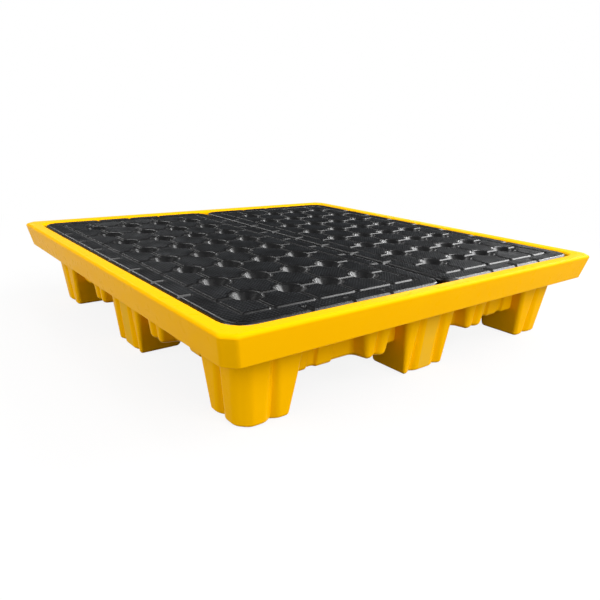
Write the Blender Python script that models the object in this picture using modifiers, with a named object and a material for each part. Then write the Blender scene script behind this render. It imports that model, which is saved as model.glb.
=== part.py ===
"""Spill containment pallet for four drums.

One moulded sump tray stands on nine hollow feet. Two perforated deck grates lie in its rim
and lift out, and a support column in each foot carries them from below. Rim, sump and feet are
one moulding, modelled as solids that meet at the ledge and under the sump floor, so that the sump
and the fork tunnels stay open for whatever collides with them.
Units are metres, +Z is up, and the origin is on the ground under the middle of the tray.
"""
import math

import bmesh
import bpy
from mathutils import Vector

# Tray, overall
SIDE = 1.300            # outer side of the square rim
HEIGHT = 0.250          # ground to the top of the rim
WALL = 0.006            # wall of the moulding
SEAT_GAP = 0.0003       # gap left where one piece rests on another

# Rim, an inverted channel open from below
RIM_HEIGHT = 0.071      # top of the rim to its lower edge
RIM_WIDTH = 0.040       # flat top between the outer edge and the deck
RIM_DRAFT = 0.015       # the lower edge lies this far inside the upper one
RIM_EDGE = 0.009        # rounding of the top outer edge
RIM_CHAMFER = 0.028     # leg of the chamfer at each upright corner
RIM_BLEND = 0.010       # length of the blend at each end of that chamfer

# Deck
RECESS_RADIUS = 0.030   # plan corners of the recess that holds the grates
DECK_SINK = 0.001       # deck surface below the rim's top
GRATE_THICKNESS = 0.040
EDGE_GAP = 0.002        # grate to recess wall
SEAM_GAP = 0.004        # grate to grate
GRATE_EDGE = 0.006      # rounding of the grate's top edge
COLUMN_PITCH = 0.114    # drain holes, across the grate
ROW_PITCH = 0.1288      # drain holes, along the grate
COLUMN_MARGIN = 0.120   # least distance from a long edge to a hole's centre
ROW_MARGIN = 0.145      # least distance from a short edge to a hole's centre
HOLE_TOP_RADIUS = 0.034
HOLE_LOW_RADIUS = 0.021
GROOVE_WIDTH = 0.010
GROOVE_DEPTH = 0.004
BORDER_INSET = 0.053    # border groove's centre line from the grate's edge
NOTCH_LENGTH = 0.034    # drip notches that run in from the edge

# Sump walls and feet, measured along a side from its middle
FLOOR_CLEARANCE = 0.078  # ground to the underside of the sump floor
GROUND_INSET = 0.092     # rim's outer side to the drafted wall, at the ground
WALL_DRAFT = 0.12        # outward lean of that wall, per unit of height
RECESS_DEPTH = 0.042     # plain sump wall behind the drafted wall
FOOT_EDGE = 0.007        # rounding under the feet and the sump floor
BULGE_PLACE = 0.190      # middle of the double-lobed bulge
BULGE_HALF = 0.030       # half its width, at the sump floor
BULGE_FLARE = 0.19       # growth of that half width, per unit of height
BULGE_FLANK = 0.010      # run of its flanks, from the lobe back to the plain wall
LOBE_EDGE = 0.006        # rounding of the lobes' upright edges
FLUTE_HALF = 0.012       # half width of the flute between two lobes, at the ground
FLUTE_TAPER = 0.04       # loss of that half width, per unit of height
FLUTE_DEPTH = 0.005
RIB_HALF = 0.022         # half width of a stiffening rib on the plain wall
RIB_GAP = 0.0195         # plain wall from rib to rib, and from the last rib to the gusset
RIB_DEPTH = 0.034        # rib's face behind the drafted wall
RIB_FLANK = 0.005
GUSSET_REACH = 0.0665    # thickened wall beside a corner foot, from the foot's inner face
FOOT_SEAM = 0.002        # where a foot meets the tray, below the underside of the sump floor
FOOT_DEPTH = 0.117       # foot, from its outer to its inner face at the ground
FOOT_INNER_DRAFT = 0.13  # lean of that inner face, per unit of height
SIDE_FOOT_HALF = 0.073   # half width of a side foot at the ground
SIDE_FOOT_FLARE = 0.13   # growth of that half width, per unit of height
PANEL_HALF = 0.030       # flat panel in the middle of a side foot
CORNER_FLUTE = 0.0735    # flute of a corner foot, from the foot's outer face

# Support columns
COLUMN_CLEARANCE = 0.0035  # flange to the flutes of the foot's well
COLUMN_FLANGE = 0.008      # thickness of the foot and head flanges, and their reach past the tube
COLUMN_WALL = 0.006

ROUND_SIDES = 12
CORNER_STEPS = 3

# Levels worked out from the sizes above
DECK_TOP = HEIGHT - DECK_SINK
GRATE_LOW = DECK_TOP - GRATE_THICKNESS
LEDGE_TOP = GRATE_LOW - SEAT_GAP
LEDGE_LOW = LEDGE_TOP - WALL
LEDGE_MIDDLE = LEDGE_TOP - WALL / 2
FLOOR_TOP = FLOOR_CLEARANCE + WALL
FOOT_TOP = FLOOR_CLEARANCE - FOOT_SEAM
RIM_LOW = HEIGHT - RIM_HEIGHT
RECESS_HALF = SIDE / 2 - RIM_WIDTH
COLUMN_BASE_RADIUS = FOOT_DEPTH / 2 - WALL - FLUTE_DEPTH - COLUMN_CLEARANCE
COLUMN_RADIUS = COLUMN_BASE_RADIUS - COLUMN_FLANGE
COLUMN_BORE = COLUMN_RADIUS - COLUMN_WALL
OVERCUT = 0.020          # how far a cutter reaches past the face it opens


def wall_half(z):
    """Half size of the drafted wall that carries the lobes and the feet."""
    return SIDE / 2 - GROUND_INSET + WALL_DRAFT * z


def flute_half(z):
    return FLUTE_HALF - FLUTE_TAPER * z


def flute(place, z):
    """Upright flute between two lobes, as points (along the side, out from the middle)."""
    half = wall_half(z)
    width = flute_half(z)
    return [(place - width, half), (place - width / 2, half - FLUTE_DEPTH),
            (place + width / 2, half - FLUTE_DEPTH), (place + width, half)]


def foot_inner(z):
    """Distance of an outer foot's inner face from the middle of the tray."""
    return SIDE / 2 - GROUND_INSET - FOOT_DEPTH - FOOT_INNER_DRAFT * z


# Outlines, as lists of (x, y) going anticlockwise
def four_sides(side_points):
    """Repeat the points of the +X side on all four sides."""
    outline = []
    for quarter in range(4):
        cos, sin = ((1, 0), (0, 1), (-1, 0), (0, -1))[quarter]
        outline += [(cos * x - sin * y, sin * x + cos * y) for x, y in side_points]
    return outline


def chamfered_square(half, chamfer, blend):
    corner = half - chamfer
    flat = blend / math.sqrt(2)
    return four_sides([(half, -corner + blend), (half, corner - blend),
                       (half - flat / 2, corner + flat / 2), (corner + flat / 2, half - flat / 2)])


def rounded_rectangle(half_x, half_y, radius):
    outline = []
    for corner, (sx, sy) in enumerate(((1, 1), (-1, 1), (-1, -1), (1, -1))):
        for step in range(CORNER_STEPS + 1):
            angle = math.pi / 2 * (corner + step / CORNER_STEPS)
            outline.append((sx * (half_x - radius) + radius * math.cos(angle),
                            sy * (half_y - radius) + radius * math.sin(angle)))
    return outline


def circle(radius, centre=(0, 0)):
    """Regular polygon with a flat facet on each axis."""
    turns = [2 * math.pi * (step + 0.5) / ROUND_SIDES for step in range(ROUND_SIDES)]
    return [(centre[0] + radius * math.cos(turn), centre[1] + radius * math.sin(turn)) for turn in turns]


def shrink(outline, distance):
    """Offset an outline inwards with mitred corners."""
    points = [Vector(point) for point in outline]
    moved = []
    for index, point in enumerate(points):
        before = (point - points[index - 1]).normalized()
        after = (points[(index + 1) % len(points)] - point).normalized()
        inward = (Vector((-before.y, before.x)) + Vector((-after.y, after.x))).normalized()
        reach = distance / inward.dot(Vector((-after.y, after.x)))
        moved.append(tuple(point + reach * inward))
    return moved


def bulge_half(z):
    return BULGE_HALF + BULGE_FLARE * (z - FLOOR_CLEARANCE)


def rib_places(gusset):
    """Middles of as many ribs as fit on the plain wall between a bulge and a gusset."""
    bulge_end = BULGE_PLACE + bulge_half(LEDGE_TOP + OVERCUT) + BULGE_FLANK
    wall_end = gusset - RIB_FLANK
    pitch = 2 * (RIB_HALF + RIB_FLANK) + RIB_GAP
    count = math.floor((wall_end - bulge_end) / pitch)
    last = wall_end - RIB_GAP - RIB_FLANK - RIB_HALF
    return [last - pitch * index for index in reversed(range(count))]


def sump_outline(z):
    """Corrugated sump wall at one height: bulges, ribs and gussets on a plain wall."""
    half = wall_half(z)
    plain = half - RECESS_DEPTH
    rib = half - RIB_DEPTH
    inner = BULGE_PLACE - bulge_half(z)
    outer = BULGE_PLACE + bulge_half(z)
    gusset = foot_inner(0) - GUSSET_REACH
    profile = [(inner - BULGE_FLANK, plain), (inner, half - LOBE_EDGE), (inner + LOBE_EDGE, half)]
    profile += flute(BULGE_PLACE, z)
    profile += [(outer - LOBE_EDGE, half), (outer, half - LOBE_EDGE), (outer + BULGE_FLANK, plain)]
    for place in rib_places(gusset):
        profile += [(place - RIB_HALF - RIB_FLANK, plain), (place - RIB_HALF, rib),
                    (place + RIB_HALF, rib), (place + RIB_HALF + RIB_FLANK, plain)]
    profile += [(gusset - RIB_FLANK, plain), (gusset, rib), (rib - RIM_CHAMFER, rib)]
    side = [(out, -along) for along, out in reversed(profile)] + [(out, along) for along, out in profile]
    return four_sides(side)


def side_foot_outline(z):
    """Side foot on the +X side: a flat panel between two lobes, with a flute each side of it."""
    half = wall_half(z)
    inner = foot_inner(z)
    width = SIDE_FOOT_HALF + SIDE_FOOT_FLARE * z
    profile = flute(PANEL_HALF + flute_half(z), z)
    profile += [(width - LOBE_EDGE, half), (width, half - LOBE_EDGE),
                (width, inner + LOBE_EDGE), (width - LOBE_EDGE, inner)]
    return [(out, -along) for along, out in reversed(profile)] + [(out, along) for along, out in profile]


def corner_foot_outline(z):
    """Corner foot at +X +Y: a chamfered main lobe with a side lobe on each outer face."""
    half = wall_half(z)
    inner = foot_inner(z)
    face = [(half - LOBE_EDGE, inner), (half, inner + LOBE_EDGE)]
    face += [(out, along) for along, out in flute(half - CORNER_FLUTE, z)]
    face.append((half, half - RIM_CHAMFER))
    other_face = [(y, x) for x, y in reversed(face)]
    return face + other_face + [(inner, inner + LOBE_EDGE), (inner + LOBE_EDGE, inner)]


def centre_foot_outline(z):
    half = FOOT_DEPTH / 2 + WALL_DRAFT * z
    return four_sides([(half, -half + LOBE_EDGE), (half, half - LOBE_EDGE)])


def turned(outline, quarter):
    cos, sin = ((1, 0), (0, 1), (-1, 0), (0, -1))[quarter]
    return [(cos * x - sin * y, sin * x + cos * y) for x, y in outline]


# Mesh builders
def add_loft(mesh, sections):
    """Add a closed loft through sections of (outline, z), from the lowest to the highest."""
    rings = [[mesh.verts.new((x, y, z)) for x, y in outline] for outline, z in sections]
    for low, high in zip(rings, rings[1:]):
        for index in range(len(low)):
            after = (index + 1) % len(low)
            mesh.faces.new((low[index], low[after], high[after], high[index]))
    mesh.faces.new(reversed(rings[0]))
    mesh.faces.new(rings[-1])


def add_bar(mesh, start, end, top):
    """Add the cutter of one straight groove, wider at its mouth than at its bottom."""
    start, end = Vector(start), Vector(end)
    along = (end - start).normalized()
    across = Vector((-along.y, along.x))

    def rectangle(width):
        half = width / 2 * across
        return [tuple(start - half), tuple(end - half), tuple(end + half), tuple(start + half)]

    low = top - GROOVE_DEPTH
    spread = GROOVE_WIDTH * OVERCUT / (2 * GROOVE_DEPTH)
    add_loft(mesh, [(rectangle(GROOVE_WIDTH / 2), low),
                    (rectangle(GROOVE_WIDTH / 2 + spread), low + OVERCUT)])


def finish_mesh(mesh, name, collection):
    data = bpy.data.meshes.new(name)
    mesh.to_mesh(data)
    mesh.free()
    item = bpy.data.objects.new(name, data)
    collection.objects.link(item)
    return item


def loft(name, sections, collection):
    mesh = bmesh.new()
    add_loft(mesh, sections)
    return finish_mesh(mesh, name, collection)


def combine(target, operation, other):
    """Add one exact Boolean and turn the other object into a guide."""
    modifier = target.modifiers.new(other.name, 'BOOLEAN')
    modifier.operation = operation
    modifier.object = other
    other.hide_render = True
    other.display_type = 'WIRE'


def material(name, colour, roughness):
    item = bpy.data.materials.new(name)
    item.use_nodes = True
    shader = item.node_tree.nodes["Principled BSDF"]
    shader.inputs["Base Color"].default_value = (*colour, 1)
    shader.inputs["Roughness"].default_value = roughness
    shader.inputs["Metallic"].default_value = 0
    return item


# Sub-parts
def foot_shapes():
    """Every foot as (name, outline function of the height)."""
    shapes = [("centre_foot", centre_foot_outline)]
    sides = ("side_foot_right", "side_foot_rear", "side_foot_left", "side_foot_front")
    corners = ("corner_foot_right_rear", "corner_foot_left_rear",
               "corner_foot_left_front", "corner_foot_right_front")
    for quarter, (side, corner) in enumerate(zip(sides, corners)):
        shapes.append((side, lambda z, quarter=quarter: turned(side_foot_outline(z), quarter)))
        shapes.append((corner, lambda z, quarter=quarter: turned(corner_foot_outline(z), quarter)))
    return shapes


def rim_sections():
    """Outside of the rim, from its lower edge to its flat top."""
    half = SIDE / 2
    edge = RIM_EDGE * (1 - math.sqrt(0.5))
    profile = [(half - RIM_DRAFT, RIM_LOW), (half, HEIGHT - RIM_EDGE),
               (half - edge, HEIGHT - edge), (half - RIM_EDGE, HEIGHT)]
    return [(chamfered_square(size, RIM_CHAMFER, RIM_BLEND), z) for size, z in profile]


def rim_channel_sections():
    """Space under the rim's top, one wall inside its outer face."""
    slope = RIM_DRAFT / (RIM_HEIGHT - RIM_EDGE)
    low = RIM_LOW - OVERCUT
    top = HEIGHT - WALL
    low_half = SIDE / 2 - RIM_DRAFT - WALL - slope * OVERCUT
    top_half = low_half + slope * (top - low)
    return [(chamfered_square(low_half, RIM_CHAMFER, RIM_BLEND), low),
            (chamfered_square(top_half, RIM_CHAMFER, RIM_BLEND), top)]


def collar_outline():
    """Outside of the wall round the deck, and of the ledge that it stands on."""
    return rounded_rectangle(RECESS_HALF + WALL, RECESS_HALF + WALL, RECESS_RADIUS + WALL)


def make_rim(parts, cutters, finish):
    """Inverted channel whose inner wall stands on the sump's ledge and holds the deck."""
    rim = loft("tray_rim", rim_sections(), parts)
    combine(rim, 'DIFFERENCE', loft("rim_channel", rim_channel_sections(), cutters))
    low = LEDGE_TOP + SEAT_GAP
    combine(rim, 'UNION', loft("deck_collar", [
        (collar_outline(), low), (collar_outline(), HEIGHT - WALL / 2)], cutters))
    recess = rounded_rectangle(RECESS_HALF, RECESS_HALF, RECESS_RADIUS)
    combine(rim, 'DIFFERENCE', loft("deck_recess", [
        (recess, low - OVERCUT), (recess, HEIGHT + OVERCUT)], cutters))
    rim.data.materials.append(finish)


def make_tray(parts, cutters, finish):
    """Sump and ledge as one shell of even wall, open below into the wells of the feet."""
    tray = loft("sump_tray", [(collar_outline(), LEDGE_LOW), (collar_outline(), LEDGE_TOP)], parts)
    foot_line = FLOOR_CLEARANCE + FOOT_EDGE
    combine(tray, 'UNION', loft("sump_outside", [
        (shrink(sump_outline(FLOOR_CLEARANCE), FOOT_EDGE), FLOOR_CLEARANCE),
        (sump_outline(foot_line), foot_line), (sump_outline(LEDGE_MIDDLE), LEDGE_MIDDLE)], cutters))
    for name, outline in foot_shapes():
        combine(tray, 'UNION', loft(name + "_well_outside", [
            (outline(FOOT_TOP), FOOT_TOP), (outline(LEDGE_MIDDLE), LEDGE_MIDDLE)], cutters))

    above = LEDGE_TOP + OVERCUT
    combine(tray, 'DIFFERENCE', loft("sump_inside", [
        (shrink(sump_outline(FLOOR_TOP), WALL), FLOOR_TOP),
        (shrink(sump_outline(above), WALL), above)], cutters))
    below = FOOT_TOP - OVERCUT
    for name, outline in foot_shapes():
        combine(tray, 'DIFFERENCE', loft(name + "_well_inside", [
            (shrink(outline(below), WALL), below), (shrink(outline(above), WALL), above)], cutters))
    tray.data.materials.append(finish)


def make_feet(parts, cutters, finish):
    """Hollow feet below the sump floor, which carry on the walls of the wells above them."""
    high = FOOT_TOP - SEAT_GAP
    above = high + OVERCUT
    for name, outline in foot_shapes():
        foot = loft(name, [(shrink(outline(0), FOOT_EDGE), 0), (outline(FOOT_EDGE), FOOT_EDGE),
                           (outline(high), high)], parts)
        combine(foot, 'DIFFERENCE', loft(name + "_inside", [
            (shrink(outline(WALL), WALL), WALL), (shrink(outline(above), WALL), above)], cutters))
        foot.data.materials.append(finish)


def hole_places(size, pitch, margin):
    """Centres of as many holes as fit along one direction of a grate."""
    count = math.floor((size - 2 * margin) / pitch) + 1
    return [pitch * (index - (count - 1) / 2) for index in range(count)]


def make_grate(name, middle, parts, cutters, finish):
    """Hollow panel with conical drains, a grid of grooves through them and drip notches at the edge."""
    width = RECESS_HALF - EDGE_GAP - SEAM_GAP / 2
    length = 2 * (RECESS_HALF - EDGE_GAP)
    radius = RECESS_RADIUS - EDGE_GAP

    def plan(inset):
        return rounded_rectangle(width / 2 - inset, length / 2 - inset, radius - inset)

    edge = GRATE_EDGE * (1 - math.sqrt(0.5))
    grate = loft(name, [(plan(0), GRATE_LOW), (plan(0), DECK_TOP - GRATE_EDGE),
                        (plan(edge), DECK_TOP - edge), (plan(GRATE_EDGE), DECK_TOP)], parts)

    columns = hole_places(width, COLUMN_PITCH, COLUMN_MARGIN)
    rows = hole_places(length, ROW_PITCH, ROW_MARGIN)
    slope = (HOLE_TOP_RADIUS - HOLE_LOW_RADIUS) / GRATE_THICKNESS
    drains = bmesh.new()
    for x in columns:
        for y in rows:
            add_loft(drains, [(circle(HOLE_LOW_RADIUS - slope * OVERCUT, (x, y)), GRATE_LOW - OVERCUT),
                              (circle(HOLE_TOP_RADIUS + slope * OVERCUT, (x, y)), DECK_TOP + OVERCUT)])

    border_x = width / 2 - BORDER_INSET
    border_y = length / 2 - BORDER_INSET
    cross = bmesh.new()
    for y in rows + [-border_y, border_y]:
        add_bar(cross, (-border_x, y), (border_x, y), DECK_TOP)
    for y in [(low + high) / 2 for low, high in zip(rows, rows[1:])]:
        for way in (-1, 1):
            outside = way * (width / 2 + OVERCUT)
            add_bar(cross, (outside, y), (way * (width / 2 - NOTCH_LENGTH), y), DECK_TOP)
    lengthwise = bmesh.new()
    for x in columns + [-border_x, border_x]:
        add_bar(lengthwise, (x, -border_y), (x, border_y), DECK_TOP)
    for x in [(low + high) / 2 for low, high in zip(columns, columns[1:])]:
        for way in (-1, 1):
            outside = way * (length / 2 + OVERCUT)
            add_bar(lengthwise, (x, outside), (x, way * (length / 2 - NOTCH_LENGTH)), DECK_TOP)

    for cutter, label in ((drains, "_drains"), (cross, "_cross_grooves"), (lengthwise, "_long_grooves")):
        item = finish_mesh(cutter, name + label, cutters)
        item.location.x = middle
        combine(grate, 'DIFFERENCE', item)
    grate.location.x = middle
    grate.data.materials.append(finish)


def make_column(name, place, parts, finish):
    """Turned tube with a flange at its foot and at its head."""
    low = WALL + SEAT_GAP
    high = GRATE_LOW - SEAT_GAP
    profile = [(COLUMN_BORE, high), (COLUMN_BASE_RADIUS, high), (COLUMN_BASE_RADIUS, high - COLUMN_FLANGE),
               (COLUMN_RADIUS, high - 2 * COLUMN_FLANGE), (COLUMN_RADIUS, low + 2 * COLUMN_FLANGE),
               (COLUMN_BASE_RADIUS, low + COLUMN_FLANGE), (COLUMN_BASE_RADIUS, low), (COLUMN_BORE, low)]
    data = bpy.data.meshes.new(name)
    edges = [(index, (index + 1) % len(profile)) for index in range(len(profile))]
    data.from_pydata([(radius, 0, z) for radius, z in profile], edges, [])
    column = bpy.data.objects.new(name, data)
    parts.objects.link(column)
    screw = column.modifiers.new("turn", 'SCREW')
    screw.steps = ROUND_SIDES
    screw.render_steps = ROUND_SIDES
    screw.use_merge_vertices = True
    screw.merge_threshold = 0.0001
    column.location.x, column.location.y = place
    column.data.materials.append(finish)


def make_columns(parts, finish):
    """One column in the well of each foot."""
    place = SIDE / 2 - GROUND_INSET - FOOT_DEPTH / 2
    for x, across in ((-place, "left"), (0, "centre"), (place, "right")):
        for y, along in ((-place, "front"), (0, "middle"), (place, "rear")):
            make_column("support_column_" + across + "_" + along, (x, y), parts, finish)


def main():
    for item in list(bpy.data.objects):
        bpy.data.objects.remove(item)
    parts = bpy.data.collections.new("spill_containment_pallet")
    cutters = bpy.data.collections.new("cutters")
    for collection in (parts, cutters):
        bpy.context.scene.collection.children.link(collection)

    yellow = material("yellow_polyethylene", (0.95, 0.55, 0.005), 0.35)
    black = material("black_polyethylene", (0.02, 0.021, 0.022), 0.55)
    make_rim(parts, cutters, yellow)
    make_tray(parts, cutters, yellow)
    make_feet(parts, cutters, yellow)
    middle = (RECESS_HALF - EDGE_GAP + SEAM_GAP / 2) / 2
    make_grate("deck_grate_left", -middle, parts, cutters, black)
    make_grate("deck_grate_right", middle, parts, cutters, black)
    make_columns(parts, black)


main()
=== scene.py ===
"""Spill containment pallet: a yellow moulded sump tray on nine feet, with two black drain grates.

The file is laid out as an add-on: sizes and colours are properties, and one operator makes each
piece or group of like pieces. Units are metres, +Z is up, and the seam of the deck runs along Y.
In the functions, s holds the sizes of the tray, g those of a grate and c those of a column.
"""
import math

import bpy
from mathutils import Matrix, Vector


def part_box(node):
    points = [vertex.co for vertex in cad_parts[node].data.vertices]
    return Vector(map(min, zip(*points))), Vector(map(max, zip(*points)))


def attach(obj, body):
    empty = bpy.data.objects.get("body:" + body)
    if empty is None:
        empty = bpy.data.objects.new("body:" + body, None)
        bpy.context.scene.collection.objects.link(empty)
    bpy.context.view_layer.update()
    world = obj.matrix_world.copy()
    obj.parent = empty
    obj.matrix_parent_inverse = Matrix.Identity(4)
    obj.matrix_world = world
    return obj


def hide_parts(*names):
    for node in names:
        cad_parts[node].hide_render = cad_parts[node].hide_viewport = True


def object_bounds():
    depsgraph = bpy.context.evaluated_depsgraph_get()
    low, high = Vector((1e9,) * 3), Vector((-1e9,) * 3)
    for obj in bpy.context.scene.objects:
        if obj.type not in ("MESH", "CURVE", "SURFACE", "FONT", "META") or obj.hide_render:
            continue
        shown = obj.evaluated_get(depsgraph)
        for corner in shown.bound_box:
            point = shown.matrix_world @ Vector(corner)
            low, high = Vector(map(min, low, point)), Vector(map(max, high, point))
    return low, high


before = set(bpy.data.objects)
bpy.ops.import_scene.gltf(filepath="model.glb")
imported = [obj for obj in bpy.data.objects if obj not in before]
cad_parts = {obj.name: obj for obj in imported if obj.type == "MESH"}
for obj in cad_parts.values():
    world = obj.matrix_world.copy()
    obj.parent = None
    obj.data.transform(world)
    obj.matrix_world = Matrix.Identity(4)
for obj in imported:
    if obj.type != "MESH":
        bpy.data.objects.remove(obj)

bl_info = {
    "name": "Spill containment pallet",
    "version": (1, 0, 0),
    "blender": (4, 5, 0),
    "location": "3D View > Sidebar > Pallet",
    "description": "Dresses the packed spill pallet: moulded tray, drain grates, support columns and stage",
    "category": "Object",
}

CAD_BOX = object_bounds()
LEFT_LOW, LEFT_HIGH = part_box("deck_grate_left")
RIGHT_LOW, RIGHT_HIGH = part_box("deck_grate_right")
TRAY_NODES = [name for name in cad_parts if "tray" in name or "_foot" in name]
COLUMN_NODES = [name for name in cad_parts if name.startswith("support_column")]

# Facets
ARC_STEPS = 5  # of each rounded upright corner
EDGE_STEPS = 4  # of each rounded level edge
SMALL_STEPS = 3  # of each rounding on pads and columns
LIP_STEPS = 6  # of each rounding in a drain
PLAN_STEPS = 8  # of a grate's plan corners
ROUND_SIDES = 40  # of a drain or a column

# Modelling
TIGHT = 0.0006  # least radius left when an outline is drawn in
ARC_SHARE = 0.48  # most of a side that the arc of one corner takes up
OVERCUT = 0.020  # reach of a cutter past the face it opens
SKIN_MERGE = 0.00001  # points this close are one where a skin closes
SOLVER_MERGE = 0.00002  # points and edges this small are left by the solver

# Tray
SEAT_GAP = 0.0003  # grate to ledge
RIM_UNDERSIDE = 0.012  # lower face of the rim, in from its lower edge
RIM_TOP = 0.030  # top face of the rim as lofted, in from its side
SPACE_TOP = 0.040  # the same for the space below it
SPACE_DRAFT = 0.004  # draft of that space below the rim
FALL_RUN = 0.030  # run of the rim's top that falls towards the deck
FALL_OVER = 0.0004  # how far above the rim that slope ends
FACING = 0.98  # least outward normal of a panel
WALL_NEAR = 0.001  # most that a panel lies off the drafted wall
PANEL_AREA = 0.002  # smallest face of a panel, in square metres

# Grates
TRIM = 0.005  # edges of a grate inside its solid, which widens the dark gaps round it
LEAST_CORNER = 0.008  # least plan corner of the drawn-in panel
PANEL_UNDERSIDE = 0.010  # start of the panel's profile, in from its edge
PANEL_LOW_EDGE = 0.0025  # rounding of the panel's lower edge
GROOVE_ROUND = 0.0008  # rounding at the bottom of the border groove
GROOVE_RUN = 0.004  # end of the panel's profile, in from the border
PAD_SUNK = 0.001  # foot of a pad inside the panel
PAD_RUN = 0.006  # level top of a pad in its profile
LIP_RISE = math.radians(5)  # slope at which a drain's lip runs out at the deck
THROAT_ROUND = 0.004  # rounding between a drain's throat and its cone
THROAT_OVERCUT = 0.004  # reach of the throat's cutter below the grate
THROAT_FLARE = 0.002  # growth of its radius there
NOTCH_SHARES = (0.4, 0.6, 1.0, 1.9)  # widths of a drip notch from its floor up, over that at the deck
NOTCH_TOE = 0.001  # level of the second width over the floor
NOTCH_TOP = 0.006  # level of the last width over the deck
NOTCH_ROUND = 0.45  # plan corners of a notch, as a share of its width
KNURL_SUNK = 0.0005  # foot of the knurl inside the deck
EDGE_CLEAR = 0.0003  # knurl from the rounding of a pad or of the border
DRAIN_CLEAR = 0.0030  # from a drain's mouth
NOTCH_CLEAR = 0.0045  # from the side of a drip notch
NOTCH_END_CLEAR = 0.006  # from the end of a drip notch
CORNER_CLEAR = 0.003  # from the rounding of a plan corner
LEVEL = 0.99  # least upward normal of a level face
LEVEL_NEAR = 0.0003  # most that a face of the deck lies under its level

# Plastics
POLYETHYLENE_IOR = 1.51
RUB_AND_HIGHLIGHT_START = 0.3  # share of the knurl's height where the greyer points start: rubbed wear and a painted highlight
RUB_AND_HIGHLIGHT_FULL = 0.8  # share where it is full

# Studio
FRAME_PIXELS = 600  # side of the photograph's frame
SENSOR = 36  # width of the camera's sensor, in millimetres
SHIFT_PIXELS = (-0.557, 0.02)
FLOOR_SIZE = 60
FLOOR_SINK = 0.0005  # floor below the ground, so that no foot shares its face
AMBIENT = 0.54  # strength of the surroundings as light on the pallet
LAMP_AIM = Vector((0, 0, 0.1))

# Lamps, as name, place, width, height and watts
LAMPS = (
    ("key_lamp", (5.2, -2.4, 3.6), 3.4, 3.4, 290),
    ("window_lamp", (3.2, 2.1, 0.5), 1.0, 1.0, 6),
    ("front_lamp", (0.0, -3.4, 2.1), 2.4, 2.4, 106),
    ("right_strip_lamp", (3.0, 0.24, 2.05), 0.4, 3.0, 46),
    ("back_strip_lamp", (0.0, 2.9, 2.8), 0.4, 3.4, 25),
    ("fill_lamp", (-3.3, 0.2, 1.6), 2.4, 2.4, 60),
)


def linear(code):
    """Turn an sRGB hex colour into linear red, green and blue."""
    values = [int(code[place:place + 2], 16) / 255 for place in (1, 3, 5)]
    return tuple(value / 12.92 if value <= 0.04045 else ((value + 0.055) / 1.055) ** 2.4 for value in values)


def length(name, description, metres):
    """Size in metres for a property group."""
    return bpy.props.FloatProperty(
        name=name, description=description, default=metres, min=0.0, precision=4,
        subtype='DISTANCE', unit='LENGTH')


def lean(name, description, ratio):
    """Run per unit of height for a property group."""
    return bpy.props.FloatProperty(
        name=name, description=description, default=ratio, min=0.0, precision=3, subtype='FACTOR',
        soft_max=1.0)


def angle(name, description, degrees):
    """Angle for a property group."""
    return bpy.props.FloatProperty(
        name=name, description=description, default=math.radians(degrees), subtype='ANGLE',
        unit='ROTATION')


def paint(name, description, code):
    """Colour for a property group, from its sRGB hex code."""
    return bpy.props.FloatVectorProperty(
        name=name, description=description, default=linear(code), size=3, min=0.0, max=1.0,
        subtype='COLOR')


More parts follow.
